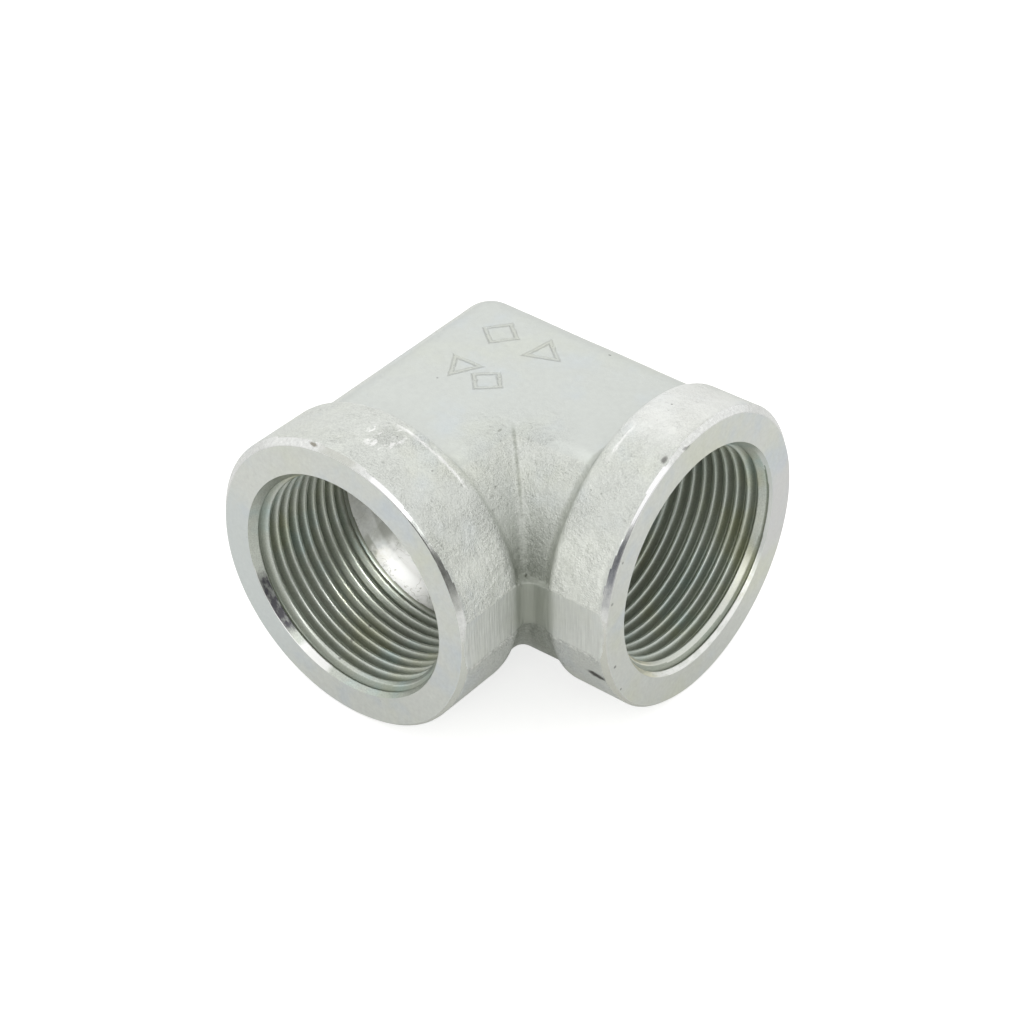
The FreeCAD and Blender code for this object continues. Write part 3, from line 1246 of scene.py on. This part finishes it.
@dataclass(frozen=True)
class StainOrPaintedLight:
    """Small stain or mark, or a small patch of painted light or shade, with its place and size in
    millimetres.
    """

    place: Triple
    size: Triple
    colour: Triple
    share: float
    turn: float = 0.0
    broken: float = 0.0

    RAGGEDNESS, EDGE_BAND = 0.8, (1.2, 0.7)
    STROKE_SIZE, STROKE_SEED, STROKE_BAND, STROKE_STRETCH = 0.7 * MM, 41.0, (0.54, 0.64), (1.0, 0.4, 1.0)

    def mask(self, wiring: Wiring, vector: Value, ragged: Value) -> Value:
        """Adds the nodes that find the mark.

        Args:
            wiring: Where the nodes go.
            vector: Coordinates in metres.
            ragged: Value from 0 to 1 that roughens the edges.

        Returns:
            The share of the mark.
        """
        place, size = ([value * MM for value in triple] for triple in (self.place, self.size))
        far = wiring.vector("LENGTH", wiring.local(vector, place, self.turn, size))
        stretched = wiring.vector("MULTIPLY", vector, self.STROKE_STRETCH)
        strokes = wiring.noise(stretched, self.STROKE_SIZE, 2.0, self.STROKE_SEED)
        share = wiring.ramp(ragged * self.RAGGEDNESS + far, *self.EDGE_BAND, 0.0, self.share)
        return share * wiring.ramp(strokes, *self.STROKE_BAND, 1.0 - self.broken, 1.0)


@dataclass
class Coat:
    """Look of one material while its nodes are added."""

    wiring: Wiring
    vector: Value
    colour: Value
    rough: Value
    normal: Optional[Value] = None

    def tone(self, share: Any, colour: Any, kind: str = "MIX") -> None:
        """Mixes a share of a colour into the coat's."""
        self.colour = self.wiring.mix(share, self.colour, colour, kind)

    def bump(self, height: Value, distance: float) -> None:
        """Adds relief to the coat's normal.

        Args:
            height: Height of the relief.
            distance: Metres that a height of 1 stands for.
        """
        values = {"Strength": 1.0, "Distance": distance, "Height": height}
        if self.normal is not None:
            values["Normal"] = self.normal
        self.normal = self.wiring.value("ShaderNodeBump", values)


@dataclass(frozen=True)
class ZincFinish:
    """Zinc plate on one kind of surface."""

    name: str
    base: Triple
    roughness: float
    metallic: float = 0.75
    patchiness: float = 0.35
    specks: float = 0.5
    grain: float = 0.6 * MM
    grain_height: float = 0.05 * MM
    speckle: float = 0.10
    pits: float = 0.4
    wear: float = 0.0
    forged: bool = False
    streaks: bool = False
    turned_height: float = 0.0
    turned_feed: float = 0.2 * MM
    groove_shade: float = 0.0
    cracks: float = 0.0
    warm: Triple = (0.70, 0.72, 0.60)
    cool: Triple = (0.62, 0.68, 0.74)
    arcs: tuple[Arc, ...] = ()
    stains_and_painted_light: tuple[StainOrPaintedLight, ...] = ()

    ROUGH_SPREAD = 0.16
    STREAK_STRETCH = (1.0, 1.0, 0.07)
    EVEN_COARSENESS = 1.3
    FLAT_TINT = (0.90, 0.91, 0.92)
    # Dirt with painted shade in the crotch.
    GRIME, GRIME_ROUGH = (0.20, 0.22, 0.17), 0.15
    # Painted highlight with some wear along the trimmed band's edges.
    EDGE, EDGE_SHARE = (0.93, 0.94, 0.90), 0.75
    PIT, PIT_SHARE = (0.30, 0.31, 0.28), 0.5
    TURNED_SPREAD = 0.10
    STAMPED, STAMPED_SHARE, STAMP_DEPTH = (0.42, 0.43, 0.33), 0.22, 0.25 * MM
    # Wear with a painted highlight on edges that stand out.
    WORN, WORN_BAND, WORN_POLISH = (0.93, 0.94, 0.91), (0.12, 0.42), 0.16
    WORN_SIZE, WORN_SEED, WORN_BREAKS = 1.6 * MM, 9.9, (0.35, 0.6, 0.35, 1.0)
    # Painted shade in hollows.
    HOLLOW, HOLLOW_BAND, HOLLOW_SHARE = (0.36, 0.38, 0.33), (-0.06, -0.40), 0.45
    # Painted shade, with some oily dirt, in the thread's grooves and at their roots.
    GROOVE, GROOVE_BAND, GROOVE_ROUGH = (0.40, 0.43, 0.36), (0.10, 0.55), 0.15
    ROOT, ROOT_BAND, ROOT_SHARE = (0.30, 0.32, 0.28), (0.78, 0.96), 0.4
    CREST_BAND = (0.05, 0.45)
    RAGGED_SIZE, RAGGED_SEED = 1.2 * MM, 3.3
    CRACK, CRACK_BAND, CRACK_PLACES = (0.42, 0.42, 0.36), (0.001, 0.007), (0.38, 0.50)
    CRACK_SIZE, CRACK_SEED = 4.5 * MM, 31.0

    def add_skin(self, coat: Coat, groups: dict[str, bpy.types.NodeTree], corner: Vector) -> None:
        """Adds the grain, and on forged skin the coarse and flat places, dirt with painted shade, and a
        painted edge highlight.

        Args:
            coat: The coat.
            groups: The shared node groups by name.
            corner: Point where both port axes cross.
        """
        wiring, vector = coat.wiring, coat.vector
        skin = wiring.vector("MULTIPLY", vector, self.STREAK_STRETCH) if self.streaks else vector
        grain = wiring.use(groups["grain"], vector=skin, grain=self.grain, pits=self.pits)
        height, pit, speckle = grain["height"], grain["pit"], grain["speckle"]
        if self.forged or self.streaks:
            forge = wiring.use(groups["forge"], vector=vector, corner=corner)
            height *= forge["coarseness"]
            even = wiring.math("MINIMUM", forge["coarseness"], self.EVEN_COARSENESS)
            pit *= even
            speckle *= even
            coat.tone(forge["flat"], self.FLAT_TINT, "MULTIPLY")
            # Dirt with painted shade in the crotch.
            coat.tone(forge["grime"], self.GRIME)
            coat.rough += forge["grime"] * self.GRIME_ROUGH
            # Painted highlight with some wear along the trimmed band's edges.
            coat.tone(forge["edge"] * self.EDGE_SHARE, self.EDGE)
        coat.tone(1.0, speckle * self.speckle + 1.0, "MULTIPLY")
        coat.bump(height, self.grain_height)
        coat.tone(pit * self.PIT_SHARE, self.PIT)

    def add_wear(self, coat: Coat) -> None:
        """Brightens edges that stand out, as wear with a painted highlight, and paints shade into hollows.

        Args:
            coat: The coat.
        """
        wiring = coat.wiring
        worn = wiring.value("ShaderNodeAttribute", output="Fac", attribute_name="wear")
        broken = wiring.noise(coat.vector, self.WORN_SIZE, 3.0, self.WORN_SEED)
        broken = wiring.ramp(broken, *self.WORN_BREAKS)
        high = wiring.ramp(worn, *self.WORN_BAND, 0.0, self.wear) * broken
        # Wear with a painted highlight on edges that stand out.
        coat.tone(high, self.WORN)
        coat.rough -= high * self.WORN_POLISH
        # Painted shade in hollows.
        coat.tone(wiring.ramp(worn, *self.HOLLOW_BAND, 0.0, self.HOLLOW_SHARE), self.HOLLOW)

    def add_grooves(self, coat: Coat) -> Value:
        """Paints shade, with some oily dirt, into the thread's grooves, darkest at their roots.

        Args:
            coat: The coat.

        Returns:
            1 off the grooves and 0 in them.
        """
        wiring = coat.wiring
        groove = wiring.value("ShaderNodeAttribute", output="Fac", attribute_name="groove")
        low = wiring.ramp(groove, *self.GROOVE_BAND, 0.0, self.groove_shade)
        # Painted shade, with some oily dirt, in the grooves and darker at the roots.
        coat.tone(low, self.GROOVE, "MULTIPLY")
        coat.tone(wiring.ramp(groove, *self.ROOT_BAND, 0.0, self.ROOT_SHARE), self.ROOT, "MULTIPLY")
        coat.rough += low * self.GROOVE_ROUGH
        return wiring.ramp(groove, *self.CREST_BAND, 1.0, 0.0)

    def add_marks(self, coat: Coat, around: list[dict[str, Value]], crest: Any) -> None:
        """Adds the arcs, the stains and patches of painted light and shade, and the cracks.

        Args:
            coat: The coat.
            around: Where points lie round each port.
            crest: Share that the arcs keep.
        """
        wiring, vector = coat.wiring, coat.vector
        ragged = wiring.noise(vector, self.RAGGED_SIZE, 3.0, self.RAGGED_SEED)
        for arc in self.arcs:
            share = arc.mask(wiring, around[arc.port], ragged) * crest
            coat.tone(share, arc.colour)
            coat.rough -= share * arc.polish
        for stain_or_light in self.stains_and_painted_light:
            coat.tone(stain_or_light.mask(wiring, vector, ragged), stain_or_light.colour)
        if self.cracks > 0:
            bend = abs(wiring.noise(vector, self.CRACK_SIZE, 3.0, self.CRACK_SEED) - 0.5)
            line = wiring.ramp(bend, *self.CRACK_BAND, self.cracks, 0.0)
            coat.tone(line * wiring.ramp(ragged, *self.CRACK_PLACES), self.CRACK)

    def build(self, groups: dict[str, bpy.types.NodeTree], ports: list[Port], own: int) -> bpy.types.Material:
        """Builds the material.

        Args:
            groups: The shared node groups by name.
            ports: Both ports.
            own: Number of the port whose axis the tool marks run round.

        Returns:
            The material.
        """
        material, port = bpy.data.materials.new(f"{self.name}_{ports[own].name[-1]}"), ports[own]
        wiring = emptied(material)
        vector = wiring.value("ShaderNodeTexCoord", output="Object")
        tint = wiring.use(groups["tint"], vector=vector, base=self.base, warm=self.warm, cool=self.cool,
                          patchiness=self.patchiness, specks=self.specks)
        least = self.roughness - self.ROUGH_SPREAD / 2
        coat = Coat(wiring, vector, tint["colour"], tint["mottle"] * self.ROUGH_SPREAD + least)
        self.add_skin(coat, groups, port.crossing)
        if self.turned_height > 0:
            marks = wiring.use(groups["turned"], vector=vector, crossing=port.crossing, axis=port.axis,
                               feed=self.turned_feed)
            coat.bump(marks["height"], self.turned_height)
            coat.rough += marks["streak"] * self.TURNED_SPREAD - self.TURNED_SPREAD / 2
        if self.forged:
            mark = wiring.use(groups["stamp"], vector=vector)["mark"]
            coat.bump(mark * -1.0, self.STAMP_DEPTH)
            coat.tone(mark * self.STAMPED_SHARE, self.STAMPED)
        if self.wear > 0:
            self.add_wear(coat)
        crest = self.add_grooves(coat) if self.groove_shade > 0 else 1.0
        around = [wiring.use(groups["around"], vector=vector, crossing=each.crossing, axis=each.axis,
                             outer=each.outer, face=each.face) for each in ports]
        self.add_marks(coat, around, crest)
        shader = wiring.value("ShaderNodeBsdfPrincipled", {
            "Base Color": coat.colour, "Metallic": self.metallic, "Roughness": coat.rough,
            "Normal": coat.normal})
        wiring.node("ShaderNodeOutputMaterial", {0: shader})
        return material


@dataclass(frozen=True)
class Studio:
    """Pale floor, soft lamps and the camera."""

    crossing: Vector
    azimuth: float = math.radians(39.655)
    elevation: float = math.radians(36.697)
    roll: float = math.radians(1.017)
    distance: float = 438.87 * MM
    shift_right: float = 1.49 * MM
    shift_up: float = -7.50 * MM
    lens: float = 87.507
    sensor: float = 36.0
    clip: tuple[float, float] = (0.01, 50.0)
    floor_reach: float = 6.0
    floor_colour: Triple = (0.60, 0.60, 0.59)
    floor_glow: float = 0.15
    floor_seen_glow: float = 0.52
    gap_side: Triple = (0.66, -0.75, 0.0)
    gap_towards: Pair = (0.25, 0.80)
    gap_height: Pair = (0.45, 0.12)
    gap_depth: float = 0.85
    glint_target: Triple = (-10.3 * MM, -16.6 * MM, -16.0 * MM)
    glint_side: Triple = (0.357, -0.807, 0.47)
    glint_distance: float = 0.4
    glint_power: float = 9.0
    glint_angle: float = math.radians(2.6)
    glint_radius: float = 4 * MM

    LAMPS = (("key", (-0.45, 0.25, 0.95), 0.7, 1.0), ("front", (0.40, -0.75, 0.52), 0.35, 1.2))

    def camera(self) -> None:
        """Makes the camera at the photograph's place."""
        azimuth, elevation = self.azimuth, self.elevation
        back = Vector((math.sin(azimuth) * math.cos(elevation), -math.cos(azimuth) * math.cos(elevation),
                       math.sin(elevation)))
        right = Vector((math.cos(azimuth), math.sin(azimuth), 0))
        up = back.cross(right)
        cosine, sine = math.cos(self.roll), math.sin(self.roll)
        right, up = right * cosine - up * sine, right * sine + up * cosine
        data = bpy.data.cameras.new("camera")
        data.lens, data.sensor_width = self.lens, self.sensor
        data.clip_start, data.clip_end = self.clip
        camera = add_object("camera", data)
        place = self.crossing + right * self.shift_right + up * self.shift_up + back * self.distance
        turned = Matrix((right, up, back)).transposed().to_4x4()
        camera.matrix_world = Matrix.Translation(place) @ turned
        bpy.context.scene.camera = camera

    def lamp(self, name: str, kind: str, place: Vector, away: Vector, **settings: Any) -> None:
        """Adds a lamp.

        Args:
            name: Name of the lamp.
            kind: AREA or SPOT.
            place: Where it stands, in metres from the crossing.
            away: Direction from what it lights towards the lamp.
            settings: Properties of the lamp's data.
        """
        data = bpy.data.lights.new(name, kind)
        for key, value in settings.items():
            setattr(data, key, value)
        lamp = add_object(name, data)
        lamp.location = self.crossing + place
        lamp.rotation_euler = away.to_track_quat("Z", "Y").to_euler()

    def floor(self) -> None:
        """Makes the floor, which turns white where no shadow falls."""
        mesh = bpy.data.meshes.new("floor")
        reach = self.floor_reach
        mesh.from_pydata([(-reach, -reach, 0), (reach, -reach, 0), (reach, reach, 0), (-reach, reach, 0)], [],
                         [(0, 1, 2, 3)])
        floor = add_object("floor", mesh)
        material = bpy.data.materials.new("floor")
        wiring = emptied(material)
        seen = wiring.value("ShaderNodeLightPath", output="Is Camera Ray")
        pale = wiring.value("ShaderNodeBsdfDiffuse", {"Color": self.floor_colour})
        strength = seen * self.floor_seen_glow + self.floor_glow
        glow = wiring.value("ShaderNodeEmission", {"Color": (1, 1, 1), "Strength": strength})
        wiring.node("ShaderNodeOutputMaterial", {0: wiring.value("ShaderNodeAddShader", {0: pale, 1: glow})})
        mesh.materials.append(material)

    def sky(self) -> None:
        """Makes the room's light: white all round, with a dark gap low on the camera's side."""
        world = bpy.data.worlds.new("room")
        bpy.context.scene.world = world
        wiring = emptied(world)
        seen = wiring.value("ShaderNodeLightPath", output="Is Camera Ray")
        direction = wiring.value("ShaderNodeTexCoord", output="Generated")
        height = wiring.parts(direction)[2]
        towards = wiring.vector("DOT_PRODUCT", direction, self.gap_side)
        dark = wiring.ramp(towards, *self.gap_towards) * wiring.ramp(height, *self.gap_height)
        level = wiring.most(1.0 - dark * self.gap_depth, seen)
        glow = wiring.value("ShaderNodeBackground", {"Color": (1, 1, 1), "Strength": level})
        wiring.node("ShaderNodeOutputWorld", {0: glow})

    def build(self) -> None:
        """Builds the whole studio."""
        self.floor()
        self.sky()
        for name, place, size, power in self.LAMPS:
            self.lamp(name, "AREA", Vector(place), Vector(place), shape="SQUARE", size=size, energy=power)
        away = Vector(self.glint_side).normalized()
        place = Vector(self.glint_target) + away * self.glint_distance
        self.lamp("mouth", "SPOT", place, away, energy=self.glint_power, spot_size=self.glint_angle,
                  spot_blend=1.0, shadow_soft_size=self.glint_radius)
        self.camera()
        bpy.context.scene.view_settings.view_transform = "Standard"


DARK = (0.10, 0.10, 0.09)
WHITE = (0.98, 0.98, 0.96)
FINISHES = {
    "forged": ZincFinish("zinc_forged", (0.66, 0.68, 0.64), 0.42, metallic=0.6, wear=0.7, forged=True,
                         grain=0.26 * MM, grain_height=0.24 * MM, pits=0.6, specks=0.9,
                         speckle=0.14, arcs=(
        # Painted sheen on the collars' upper crotch-facing sides.
        Arc(0, 146, 176, 1.5, 12.5, (0.92, 0.94, 0.88), 0.65, soft=16, edge=1.0, broken=0.4),
        Arc(1, 146, 176, 1.5, 12.5, (0.92, 0.94, 0.88), 0.75, soft=16, edge=1.0, broken=0.4),
        # Painted highlights along the collars' shoulder crests.
        Arc(0, 97, 131, 12.4, 12.9, WHITE, 0.9, soft=6, edge=0.6, polish=0.1, broken=0.85),
        Arc(1, 102, 120, 9.7, 10.2, WHITE, 0.8, soft=6, edge=0.6, polish=0.1, broken=0.8),
        # Painted shade in the valley along collar B's shoulder foot.
        Arc(1, 104, 176, 12.0, 13.6, (0.36, 0.38, 0.33), 0.5, soft=6, edge=0.7),
        # Painted sheen on collar B's upper outer side.
        Arc(1, 62, 104, 1.0, 12.0, (0.90, 0.90, 0.88), 0.45, soft=18, edge=1.0),
    ), stains_and_painted_light=(
        StainOrPaintedLight((4.9, -8.1, 49.7), (0.4, 0.9, 0.5), (0.25, 0.26, 0.22), 0.6),
        StainOrPaintedLight((5.6, 20.9, 49.8), (0.5, 0.3, 0.5), DARK, 0.8),
        StainOrPaintedLight((27.0, 9.3, 54.8), (0.3, 0.3, 0.5), DARK, 0.7),
        # Painted shade: near-black patch for the shaded inside of a slot that the mesh lacks.
        StainOrPaintedLight((32.3, -17.5, 17.4), (3.1, 2.0, 1.4), (0.04, 0.04, 0.03), 0.98),
        # Painted highlight above painted shade, the lit and shaded sides of a small knock on collar A.
        StainOrPaintedLight((18.0, -21.6, 37.6), (0.7, 0.7, 0.7), WHITE, 0.8),
        StainOrPaintedLight((18.3, -21.6, 36.5), (0.6, 0.6, 0.5), (0.2, 0.2, 0.18), 0.6),
        StainOrPaintedLight((33.7, -2.1, 52.9), (0.8, 1.7, 0.8), (0.16, 0.16, 0.15), 0.8),
        StainOrPaintedLight((-4.0, -26.3, 54.5), (7.5, 6.0, 2.5), WHITE, 0.9, broken=1.0),
        # Painted highlight and shade of the ding pressed at (-10.2, -31.1, 54.7).
        StainOrPaintedLight((-10.2, -31.1, 54.7), (0.5, 1.2, 0.6), WHITE, 0.9),
        StainOrPaintedLight((-9.6, -31.1, 54.7), (0.3, 1.0, 0.6), (0.42, 0.43, 0.39), 0.7),
    )),
    "trimmed": ZincFinish("zinc_trimmed", (0.71, 0.73, 0.69), 0.42, metallic=0.6, streaks=True, pits=0.2,
                          wear=0.4, grain=0.30 * MM, grain_height=0.055 * MM, speckle=0.08),
    "chamfer": ZincFinish("zinc_chamfer", (0.78, 0.79, 0.77), 0.24, metallic=0.9, pits=0.0, specks=0.3,
                          patchiness=0.1, grain_height=0.004 * MM, turned_height=0.006 * MM, arcs=(
        # Painted reflections on the polished chamfers: white glints, dark lines and darker lower sides.
        Arc(0, 84, 100, 0.0, 2.0, (0.56, 0.57, 0.51), 0.7, soft=6),
        Arc(0, 107, 125, 0.0, 2.0, (1.0, 1.0, 1.0), 1.0, soft=2, polish=0.04),
        Arc(0, 126, 164, 0.0, 3.0, (0.50, 0.51, 0.48), 0.9, soft=3, broken=0.3),
        Arc(0, 127, 137, 0.0, 3.0, (0.20, 0.21, 0.20), 0.9, soft=2, broken=0.2),
        Arc(0, 138, 157, 0.0, 3.0, (0.30, 0.31, 0.29), 0.85, soft=9, broken=0.4),
        Arc(0, 126, 152, 0.95, 1.5, (0.05, 0.05, 0.05), 0.85, soft=4, edge=0.2, broken=0.2),
        Arc(0, 132, 158, 0.0, 0.12, (0.12, 0.12, 0.11), 0.7, soft=5, edge=0.15, broken=0.3),
        Arc(1, 111, 136, 0.0, 2.0, (1.0, 1.0, 1.0), 1.0, soft=3, polish=0.04),
        Arc(1, 138, 168, 0.0, 3.0, (0.52, 0.53, 0.53), 0.9, soft=4, broken=0.3),
        Arc(1, 143, 160, 0.2, 3.0, (0.28, 0.29, 0.32), 0.85, soft=8, broken=0.5),
        Arc(0, 176, 275, 0.0, 3.0, (0.66, 0.68, 0.62), 0.9, soft=10),
        Arc(1, 176, 275, 0.0, 3.0, (0.66, 0.67, 0.60), 0.9, soft=10),
    ), stains_and_painted_light=(
        StainOrPaintedLight((-12.3, -34.3, 54.0), (1.6, 0.7, 0.5), (0.24, 0.22, 0.17), 0.8),
        StainOrPaintedLight((34.0, -2.3, 52.7), (0.8, 1.2, 0.7), (0.06, 0.06, 0.06), 0.9),
        StainOrPaintedLight((34.9, 2.2, 53.3), (0.5, 1.4, 0.3), (0.16, 0.16, 0.15), 0.5),
    )),
    "face": ZincFinish("zinc_face", (0.715, 0.735, 0.695), 0.34, metallic=0.8, pits=0.0, specks=0.5,
                       patchiness=0.7, grain_height=0.006 * MM, turned_height=0.004 * MM,
                       speckle=0.04, arcs=(
        Arc(0, 300, 380, -1.0, 1.0, (0.63, 0.69, 0.71), 0.45, soft=20),
        Arc(1, 335, 375, -1.0, 1.0, (0.70, 0.685, 0.71), 0.45, soft=20),
    ), stains_and_painted_light=(
        StainOrPaintedLight((35.0, -16.0, 19.7), (0.5, 0.55, 0.5), DARK, 0.7),
        StainOrPaintedLight((35.0, -14.3, 13.8), (0.5, 0.45, 0.45), DARK, 0.7),
        StainOrPaintedLight((35.0, -17.0, 33.4), (0.5, 0.55, 0.5), DARK, 0.5),
        StainOrPaintedLight((35.0, -14.3, 40.2), (0.5, 0.45, 0.45), DARK, 0.5),
    )),
    "thread": ZincFinish("zinc_thread", (0.61, 0.64, 0.58), 0.38, metallic=0.85, pits=0.0, specks=0.2,
                         patchiness=0.9, warm=(0.58, 0.59, 0.42), cool=(0.52, 0.63, 0.61), grain=0.22 * MM,
                         grain_height=0.01 * MM, groove_shade=0.52, speckle=0.16, arcs=(
        Arc(0, 309, 340, -1.0, 1.4, (0.05, 0.045, 0.06), 0.92, soft=7, edge=0.2, broken=0.35),
        # Painted highlight on countersink A's lower side.
        Arc(0, 283, 301, -1.0, 2.3, WHITE, 0.9, soft=4, edge=0.2),
        # Painted shade over crests that the mouth lamp lights.
        Arc(0, 285, 335, 13.0, 22.5, (0.26, 0.28, 0.22), 0.6, soft=15, edge=3.0, polish=-0.12),
        # Painted highlight along countersink A's inner edge.
        Arc(0, 285, 345, -1.0, 0.10, WHITE, 0.9, soft=6, edge=0.1),
        Arc(1, 0, 360, 2.2, 22.0, (0.58, 0.67, 0.61), 0.25),
        # Painted highlights and glints on countersink B and its first crest.
        Arc(1, 190, 240, -1.0, 4.0, (1.0, 0.97, 0.82), 0.9, soft=16, edge=0.6, broken=0.3),
        Arc(1, 236, 320, -1.0, 1.2, WHITE, 0.75, soft=10, edge=0.3, broken=0.4),
        Arc(1, 236, 330, 1.2, 2.8, (0.80, 0.81, 0.75), 0.5, soft=10, edge=0.3),
        Arc(1, 320, 400, -1.0, 0.8, (0.86, 0.88, 0.86), 0.7, soft=10, edge=0.3),
        # Painted shade over thread A's run-out, which the mouth lamp lights.
        Arc(0, 250, 420, 21.2, 23.0, (0.20, 0.21, 0.17), 0.9, soft=20, edge=0.4, polish=-0.35),
    ), stains_and_painted_light=(
        StainOrPaintedLight((-16.5, -33.0, 10.0), (0.6, 0.5, 0.6), DARK, 0.6),
        StainOrPaintedLight((-16.7, -30.3, 10.1), (0.6, 0.5, 0.6), DARK, 0.6),
        StainOrPaintedLight((-11.7, -32.4, 8.3), (0.7, 0.5, 0.6), DARK, 0.6),
        StainOrPaintedLight((-13.0, -27.8, 8.6), (0.6, 0.5, 0.6), DARK, 0.5),
        StainOrPaintedLight((-13.1, -23.0, 8.6), (0.6, 0.6, 0.6), DARK, 0.6),
    )),
    "drilled": ZincFinish("zinc_drilled", (0.70, 0.71, 0.67), 0.36, metallic=0.35, pits=0.05, specks=0.3,
                          grain_height=0.02 * MM, turned_height=0.01 * MM, turned_feed=0.5 * MM, cracks=0.7,
                          arcs=(
        # Painted shade where thread A runs out into the lamp-lit drilled wall.
        Arc(0, 296, 326, 22.0, 24.0, (0.33, 0.34, 0.28), 0.8, soft=9, edge=0.4),
        Arc(0, 270, 296, 22.0, 22.9, (0.33, 0.34, 0.28), 0.8, soft=9, edge=0.4),
    ), stains_and_painted_light=(
        # Painted shade above the lit patch in way A.
        StainOrPaintedLight((-22.8, -8.0, 16.0), (2.8, 5.0, 2.8), (0.40, 0.41, 0.37), 0.6),
        StainOrPaintedLight((-20.6, -11.0, 12.9), (2.4, 3.4, 2.4), (0.86, 0.82, 0.68), 0.6),
        # Painted light: the lit patch in way A, brighter than the mouth lamp alone makes it.
        StainOrPaintedLight((-16.2, -10.0, 10.0), (13.0, 9.5, 9.0), (1.0, 1.0, 0.98), 1.0),
        StainOrPaintedLight((-12.7, -9.3, 8.7), (0.35, 1.0, 0.6), DARK, 0.85, turn=0.4),
    )),
}
NICKS = (
    Nick((-10.2, -31.1, 54.7), 1.3, 0.30),
    Nick((-12.3, -34.3, 54.0), 0.9, 0.16),
    Nick((34.0, -2.3, 52.7), 0.9, 0.18),
    Nick((35.0, 2.7, 53.3), 0.8, 0.15),
    Nick((-21.5, -7.8, 49.6), 0.8, 0.18),
    Nick((-21.8, 7.8, 49.7), 0.8, 0.18),
)


def main() -> None:
    """Builds the elbow's pieces and the studio."""
    logging.basicConfig(level=logging.INFO, format="%(name)s %(message)s")
    ports = read_ports()
    groups = {"tint": ZincTint().tree(), "grain": SteelGrain().tree(), "turned": TurnedMarks().tree(),
              "stamp": StampedShapes().tree(), "around": AroundPort().tree(), "forge": ForgeZones().tree()}
    finishes = [{name: each.build(groups, ports, own) for name, each in FINISHES.items()}
                for own in range(len(ports))]
    ForgedBody(ports, SolidProbe(NODE), finishes, ForgedRelief(), NICKS).build()
    PipeThread().build(ports, finishes)
    DrilledWays(ports, finishes[0]["drilled"]).build()
    Studio(ports[0].crossing).build()


if __name__ == "__main__":
    main()
